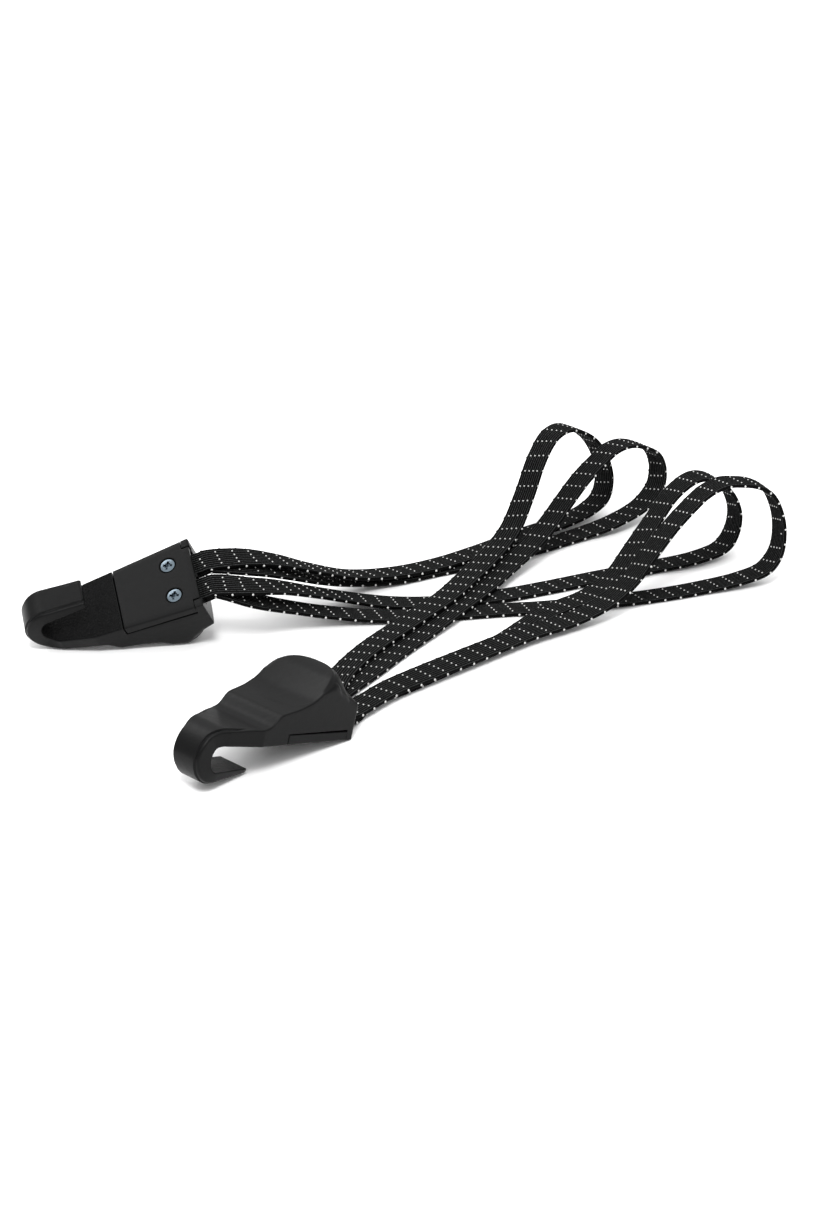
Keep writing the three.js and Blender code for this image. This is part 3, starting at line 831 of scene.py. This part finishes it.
def band_mesh(frames, section):
    """The section carried along the frames, with a UV in band widths."""
    rings = [[p + w * y + n * h for y, h in section] for _, p, w, n in frames]
    wide = 2 * max(y for y, _ in section)
    across = [y / wide + 0.5 for y, _ in section]
    return loft(rings, [length / wide for length, *_ in frames], across)


def thread_rows(frames, total):
    """Places of the thread marks: (frame, across, out from the middle, kind)."""
    s = bpy.context.scene.strap_bands
    half_wide, half_thick = s.width / 2 / MM, s.thickness / 2 / MM
    apart = 2 * half_wide / (s.marks + MARK_MARGIN)
    pitch, slant = s.row_pitch / MM, s.row_slant / MM
    step = frames[1][0] - frames[0][0]
    first = frames[0][0]
    marks = []

    def mark(length, across, face, kind):
        i = math.floor((length - first) / step)
        if not 2 <= i <= len(frames) - 3:
            return
        share = (length - first) / step - i
        frame = [a.lerp(b, share) for a, b in zip(frames[i][1:], frames[i + 1][1:])]
        out = face * rib_height(across, half_wide, half_thick, s.ribs, 0.0)
        marks.append((frame, across, out, kind))

    for row in range(int(total / pitch) + 2):
        start = row * pitch
        for k in range(s.marks):
            across = (k + FIRST_MARK) * apart - half_wide
            mark(start + k * slant, across, -1, "dot")
            mark(start + pitch / 2 - k * slant, across, 1, "dot")
        mark(start - EDGE_MARK * slant, -half_wide, 0, "edge_dot")
        mark(start + s.marks * slant, half_wide, 0, "nub")
    return marks


def thread_mesh(marks):
    """One low ball for each mark, all in one mesh."""
    s = bpy.context.scene.strap_bands
    ball = bmesh.new()
    bmesh.ops.create_uvsphere(ball, u_segments=8, v_segments=4, radius=1.0)
    template = bpy.data.meshes.new("ball")
    ball.to_mesh(template)
    ball.free()
    shape = [v.co.copy() for v in template.vertices]
    faces = len(template.polygons)
    bm = bmesh.new()
    for _ in marks:
        bm.from_mesh(template)
    bpy.data.meshes.remove(template)
    bm.verts.ensure_lookup_table()
    bm.faces.ensure_lookup_table()
    long, wide = s.dot_length / 2 / MM, s.dot_width / 2 / MM
    edge_dot = (EDGE_DOT_STRETCH * long, *EDGE_DOT)
    shapes = {"dot": (long, wide, DOT_HEIGHT), "edge_dot": edge_dot, "nub": NUB}
    for i, ((p, w, n), across, out, kind) in enumerate(marks):
        t = w.cross(n)
        middle = p + w * across + n * (DOT_DEPTH * out)
        sizes = shapes[kind]
        for k, co in enumerate(shape):
            bm.verts[i * len(shape) + k].co = (
                middle + t * (co.x * sizes[0]) + w * (co.y * sizes[1]) + n * (co.z * sizes[2])
            )
        for k in range(faces):
            bm.faces[i * faces + k].material_index = 1 if kind == "nub" else 0
    return bm


# Settings
def metres(name, description, default, low=0.0):
    """A length in metres."""
    return bpy.props.FloatProperty(
        name=name, description=description, default=default, min=low, unit="LENGTH"
    )


def number(name, description, default, high=1000.0):
    """A number from nothing up."""
    return bpy.props.FloatProperty(
        name=name, description=description, default=default, min=0.0, max=high
    )


def whole(name, description, default, high):
    """A whole number from one up."""
    return bpy.props.IntProperty(name=name, description=description, default=default, min=1, max=high)


def tint(name, description, *rgb):
    """An opaque colour."""
    return bpy.props.FloatVectorProperty(
        name=name,
        description=description,
        subtype="COLOR",
        size=4,
        min=0.0,
        max=1.0,
        default=(*rgb, 1.0),
    )


class StrapBands(bpy.types.PropertyGroup):
    width: metres("Width", "Width of each elastic band", 0.012, 0.004)
    thickness: metres("Thickness", "Thickness of each band at its ribs", 0.002, 0.0005)
    ribs: whole("Ribs", "Rubber cords side by side in a band", 10, 16)
    marks: whole("Marks", "Thread marks side by side in a row", 5, 8)
    rib_depth: metres("Rib depth", "How far the valleys between ribs lie below them", 0.0006)
    row_pitch: metres("Row pitch", "Distance between rows of thread marks", 0.0078, 0.002)
    row_slant: metres("Row slant", "How much further along each mark of a row lies", 0.00073, -0.01)
    dot_length: metres("Mark length", "Length of a thread mark", 0.0008)
    dot_width: metres("Mark width", "Width of a thread mark", 0.0008)
    # The rib colour is the elastic's own dark colour with a painted highlight on the rib tops, and the
    # valley colour is painted shade between the ribs
    colour: tint("Elastic colour", "Colour of the knitted elastic on its ribs", 0.045, 0.047, 0.047)
    valley_painted_shade: tint(
        "Valley colour", "Colour of the knitted elastic between its ribs", 0.0005, 0.0005, 0.0005
    )
    dot_colour: tint("Mark colour", "Colour of the light thread marks", 0.52, 0.52, 0.51)
    nub_colour: tint(
        "Edge thread colour", "Colour of the thread turns at the edges", 0.008, 0.008, 0.008
    )


class StrapHooks(bpy.types.PropertyGroup):
    edge_strip: metres(
        "Edge strip", "Width of the lower strip along the edges of the J's outer face", 0.0021
    )
    edge_step: metres("Edge step", "How far that strip lies below the face", 0.0007)
    roughness: number("Roughness", "Roughness of the moulded plastic", 0.38, 1.0)
    colour: tint("Hook colour", "Colour of the moulded hooks", 0.0026, 0.0027, 0.0028)
    cover_colour: tint("Cover colour", "Colour of the cover plates", 0.0026, 0.0027, 0.0028)


class StrapScrews(bpy.types.PropertyGroup):
    drive_length: metres("Recess length", "Length of each bar of the cross", 0.0056)
    drive_width: metres("Recess width", "Width of each bar of the cross", 0.0014)
    colour: tint("Screw colour", "Colour of the zinc-plated screws", 0.12, 0.15, 0.175)
    clip_colour: tint("Clip colour", "Colour of the steel clips on the band ends", 0.55, 0.55, 0.56)


class StrapStage(bpy.types.PropertyGroup):
    floor_colour: tint("Floor colour", "Colour of the plain floor", 0.93, 0.93, 0.93)
    sky: number("Ceiling light", "Strength of the even light from overhead", 1.6)
    walls: number("Wall share", "Brightness of the walls, as a share of the ceiling", 0.35)
    key: number("Key light", "Power of the large soft light, in watts", 9.0)
    front: number("Front light", "Power of the small light from the front, in watts", 12.0)


# Operators
class STRAP_OT_camera(bpy.types.Operator):
    """Stand the camera where the photograph was taken from"""

    bl_idname = "strap.camera"
    bl_label = "Camera"

    def execute(self, context):
        data = bpy.data.cameras.new("camera")
        data.sensor_fit = "HORIZONTAL"
        data.sensor_width = SENSOR
        data.lens = SENSOR * FOCAL_PIXELS / IMAGE_WIDTH
        camera = bpy.data.objects.new("camera", data)
        context.scene.collection.objects.link(camera)
        away = Vector((0.0, -math.cos(ELEVATION), math.sin(ELEVATION)))
        camera.location = AIM + DISTANCE * away
        camera.rotation_euler = (math.pi / 2 - ELEVATION, 0.0, 0.0)
        context.scene.camera = camera
        return {"FINISHED"}


class STRAP_OT_bands(bpy.types.Operator):
    """Lay the four free elastic bands, each in two halves with their thread marks"""

    bl_idname = "strap.bands"
    bl_label = "Bands"

    def execute(self, context):
        section = band_section()
        materials = [material("knit_elastic")]
        threads = [material("light_thread"), material("dark_thread")]
        for name in ROUTES:
            frames = band_line(name, 1.0)
            middle = len(frames) // 2
            total = frames[-1][0]
            halves = {"far": frames[: middle + 1], "near": frames[middle:]}
            for hook, run in halves.items():
                piece = to_object(f"{name}_{hook}", band_mesh(run, section), materials)
                marks = thread_mesh(thread_rows(run, total))
                dots = to_object(f"{name}_{hook}_marks", marks, threads)
                line = run if hook == "far" else run[::-1]
                for obj in (piece, dots):
                    obj.data.transform(Matrix.Scale(MM, 4))
                    obj.data.shade_smooth()
                    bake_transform(obj)
                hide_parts(name)
                path = [tuple(f[1] * MM) for f in line[::PATH_STEP]] + [tuple(line[-1][1] * MM)]
        return {"FINISHED"}


class STRAP_OT_band_ends(bpy.types.Operator):
    """Carry the ribbed bands on into the hooks as far as their clipped ends"""

    bl_idname = "strap.band_ends"
    bl_label = "Band ends"

    def execute(self, context):
        section = band_section()
        for hook in HOOKS:
            for side, hand in SIDES.items():
                for layer, level in enumerate(LAYERS):
                    height = LAYER_Z + LAYER_PITCH * layer
                    places = spaced(BAND_END_X, HOOK_LENGTH + GAP, 1.0) + [HOOK_LENGTH + GAP]
                    across, up = Vector((0, 1, 0)), Vector((0, 0, 1))
                    frames = [(x, Vector((x, side * GROUP_Y, height)), across, up) for x in places]
                    name = f"{hook}_end_{hand}_{level}"
                    mesh = band_mesh(frames, section)
                    piece = to_object(f"{name}_ribbed", mesh, [material("knit_elastic")])
                    hole = [(SHANK_RADIUS + GAP, -6.0), (SHANK_RADIUS + GAP, 20.0)]
                    cut(piece, [turned(hole, SCREW_X, side * SCREW_Y)])
                    shade(piece, 60)
                    fit(piece, hook, name)
        return {"FINISHED"}


class STRAP_OT_bodies(bpy.types.Operator):
    """Make the two moulded hook bodies"""

    bl_idname = "strap.bodies"
    bl_label = "Hook bodies"

    def execute(self, context):
        rings = body_rings()
        for hook in HOOKS:
            materials = [material("hook_plastic"), material("hook_grained")]
            piece = to_object(hook + "_moulding", loft(rings), materials)
            reach = context.scene.strap_bands.width / 2 / MM + CHANNEL_MARGIN
            low = (BAND_END_X - CHAMBER_SPARE, -CHAMBER_HALF, -1.0)
            cutters = [block(low, (CHANNEL_X, CHAMBER_HALF, CHAMBER_TOP))]
            bore = SHANK_RADIUS + GAP
            for side in SIDES:
                y = side * GROUP_Y
                low = (CHANNEL_X - GAP, y - reach, -1.0)
                cutters.append(block(low, (HOOK_LENGTH + 8.0, y + reach, CHANNEL_TOP)))
                hole = [(bore, -1.0), (bore, HEAD_SINK + SCREW_LENGTH + GAP)]
                cutters.append(turned(hole, SCREW_X, side * SCREW_Y))
            cut(piece, cutters)
            for face in piece.data.polygons:
                if self.is_inner(face.center, face.normal):
                    face.material_index = 1
            shade(piece, 40)
            ease(piece, BODY_EASE)
            fit(piece, hook, hook + "_body")
        return {"FINISHED"}

    def is_inner(self, centre, normal):
        """Whether a face is on the grained inside of the J, from the seam round the bend to the lip."""
        x, _, z = centre
        if x > SEAM_X - 0.3:
            return False
        if x > BEND_X:
            return (z < 0.4 and normal.z < -0.8 and z > -1) or (normal.z > 0.8 and z < -4)
        return math.hypot((x - BEND_X) / BEND_REACH, (z + THROAT / 2) / (THROAT / 2)) < 1.08


class STRAP_OT_covers(bpy.types.Operator):
    """Make the two screwed cover plates with their flanges, countersinks and clamping ridges"""

    bl_idname = "strap.covers"
    bl_label = "Covers"

    def execute(self, context):
        rings = cover_rings()
        reach = context.scene.strap_bands.width / 2 / MM + CHANNEL_MARGIN - GAP
        for hook in HOOKS:
            piece = to_object(hook + "_plate", loft(rings), [material("cover_plastic")])
            seat = HEAD_RADIUS + GAP
            sink = [
                (seat + 0.6, -1.0),
                (seat + 0.6, 0.0),
                (seat + 0.4, 0.2),
                (seat + 0.35, 0.9),
                (SHANK_RADIUS + GAP, HEAD_SINK + HEAD_HEIGHT + GAP),
                (SHANK_RADIUS + GAP, 6.0),
            ]
            cut(piece, [turned(sink, SCREW_X, side * SCREW_Y, 64) for side in SIDES])
            ridges = []
            for side in SIDES:
                y = side * GROUP_Y
                for share in RIDGE_SHARES:
                    x = HOOK_LENGTH - share * CHANNEL_LENGTH
                    low = (x, y - reach, COVER_THICK / 2)
                    high = (x + RIDGE_LENGTH, y + reach, COVER_THICK + RIDGE_HEIGHT)
                    ridges.append(block(low, high, 0.3))
            add_to(piece, ridges)
            shade(piece, 40)
            ease(piece, COVER_EASE)
            fit(piece, hook, hook + "_cover")
        return {"FINISHED"}


class STRAP_OT_screws(bpy.types.Operator):
    """Make the four countersunk cross-recess screws"""

    bl_idname = "strap.screws"
    bl_label = "Screws"

    def execute(self, context):
        top = HEAD_SINK + SCREW_LENGTH
        shares = [k / 8 for k in range(1, 8)]
        dome = [(HEAD_RADIUS * r, HEAD_SINK - HEAD_DOME * (1 - r**2)) for r in shares]
        profile = [(0.02, HEAD_SINK - HEAD_DOME)] + dome + [(HEAD_RADIUS, HEAD_SINK + 0.05)]
        profile += [(HEAD_RADIUS, HEAD_SINK + 0.2), (SHANK_RADIUS, HEAD_SINK + HEAD_HEIGHT)]
        depth = HEAD_SINK + HEAD_HEIGHT + 0.6
        while depth < top - SCREW_POINT - 0.5:
            profile += [(SHANK_RADIUS - THREAD_DEPTH, depth), (SHANK_RADIUS, depth + 0.35)]
            depth += THREAD_PITCH
        profile += [(SHANK_RADIUS - 0.4, top - SCREW_POINT), (0.05, top)]
        s = context.scene.strap_screws
        long, wide = s.drive_length / 2 / MM, s.drive_width / 2 / MM
        for hook in HOOKS:
            for side, hand in SIDES.items():
                y = side * SCREW_Y
                mesh = turned(profile, SCREW_X, y, 48)
                piece = to_object(f"{hook}_screw_{hand}_fine", mesh, [material("zinc_screw")])
                cutters = []
                for turn, share in DRIVE_BARS:
                    reach, half = long * (0.5 + share / 2), wide * share
                    bar = block((-reach, -half, -1.0), (reach, half, HEAD_SINK + 0.2 + share))
                    for v in bar.verts:
                        if v.co.z > 0:
                            v.co.x *= DRIVE_TAPER[0]
                            v.co.y *= DRIVE_TAPER[1]
                    spin = Matrix.Rotation(math.radians(turn), 4, "Z")
                    bar.transform(Matrix.Translation((SCREW_X, y, 0)) @ spin)
                    cutters.append(bar)
                cut(piece, cutters)
                shade(piece, 35)
                fit(piece, hook, f"{hook}_screw_{hand}")
        return {"FINISHED"}


class STRAP_OT_clips(bpy.types.Operator):
    """Give the clips inside the hooks, which stay as they are, their steel"""

    bl_idname = "strap.clips"
    bl_label = "Clips"

    def execute(self, context):
        for hook in HOOKS:
            for hand in SIDES.values():
                clip = bpy.data.objects[f"{hook}_clip_{hand}"]
                for slot in clip.material_slots:
                    slot.material = material("clip_steel")
        return {"FINISHED"}


class STRAP_OT_stage(bpy.types.Operator):
    """Set the plain pale floor and the soft studio light"""

    bl_idname = "strap.stage"
    bl_label = "Stage"

    def execute(self, context):
        s = context.scene.strap_stage
        material, nodes, links, shader = new_material("floor")
        shader.inputs["Base Color"].default_value = s.floor_colour
        shader.inputs["Roughness"].default_value = 0.9
        shader.inputs["Specular IOR Level"].default_value = 0.1
        bm = bmesh.new()
        bmesh.ops.create_grid(bm, x_segments=1, y_segments=1, size=FLOOR_HALF)
        floor = to_object("floor", bm, [material])
        floor.location = (AIM.x, AIM.y, -FLOOR_DROP)
        world = bpy.data.worlds.new("studio")
        world.use_nodes = True
        nodes, links = world.node_tree.nodes, world.node_tree.links
        back = nodes["Background"]
        back.inputs["Strength"].default_value = s.sky
        where = nodes.new("ShaderNodeTexCoord")
        split = nodes.new("ShaderNodeSeparateXYZ")
        links.new(where.outputs["Generated"], split.inputs["Vector"])
        ramp = nodes.new("ShaderNodeValToRGB")
        ramp.color_ramp.elements[0].position = HORIZON[0]
        ramp.color_ramp.elements[0].color = (s.walls, s.walls, s.walls, 1.0)
        ramp.color_ramp.elements[1].position = HORIZON[1]
        ramp.color_ramp.elements[1].color = (1.0, 1.0, 1.0, 1.0)
        links.new(split.outputs["Z"], ramp.inputs["Fac"])
        links.new(ramp.outputs["Color"], back.inputs["Color"])
        context.scene.world = world
        self.soft_light("key", KEY_AT, KEY_SIZE, s.key)
        self.soft_light("front", FRONT_AT, FRONT_SIZE, s.front)
        context.scene.view_settings.view_transform = "Standard"
        return {"FINISHED"}

    def soft_light(self, name, at, size, power):
        """A square soft light that points at the place looked at."""
        data = bpy.data.lights.new(name, "AREA")
        data.shape = "SQUARE"
        data.size = size
        data.energy = power
        light = bpy.data.objects.new(name, data)
        bpy.context.scene.collection.objects.link(light)
        light.location = AIM + Vector(at)
        light.rotation_euler = (-Vector(at)).to_track_quat("-Z", "Y").to_euler()


class STRAP_PT_panel(bpy.types.Panel):
    bl_label = "Bicycle tension strap"
    bl_idname = "STRAP_PT_panel"
    bl_space_type = "VIEW_3D"
    bl_region_type = "UI"
    bl_category = "Strap"

    def draw(self, context):
        for group in GROUPS:
            settings = getattr(context.scene, group)
            box = self.layout.box()
            for prop in settings.bl_rna.properties:
                if not prop.is_readonly and prop.identifier != "name":
                    box.prop(settings, prop.identifier)
        for step in STEPS:
            self.layout.operator(step.bl_idname)


GROUPS = {
    "strap_bands": StrapBands,
    "strap_hooks": StrapHooks,
    "strap_screws": StrapScrews,
    "strap_stage": StrapStage,
}
STEPS = (
    STRAP_OT_camera,
    STRAP_OT_bands,
    STRAP_OT_band_ends,
    STRAP_OT_bodies,
    STRAP_OT_covers,
    STRAP_OT_screws,
    STRAP_OT_clips,
    STRAP_OT_stage,
)


def register():
    for cls in (*GROUPS.values(), *STEPS, STRAP_PT_panel):
        bpy.utils.register_class(cls)
    for name, cls in GROUPS.items():
        setattr(bpy.types.Scene, name, bpy.props.PointerProperty(type=cls))


def unregister():
    for name in GROUPS:
        delattr(bpy.types.Scene, name)
    for cls in reversed((*GROUPS.values(), *STEPS, STRAP_PT_panel)):
        bpy.utils.unregister_class(cls)


def main():
    register()
    for step in STEPS:
        group, call = step.bl_idname.split(".")
        getattr(getattr(bpy.ops, group), call)()


if __name__ == "__main__":
    main()
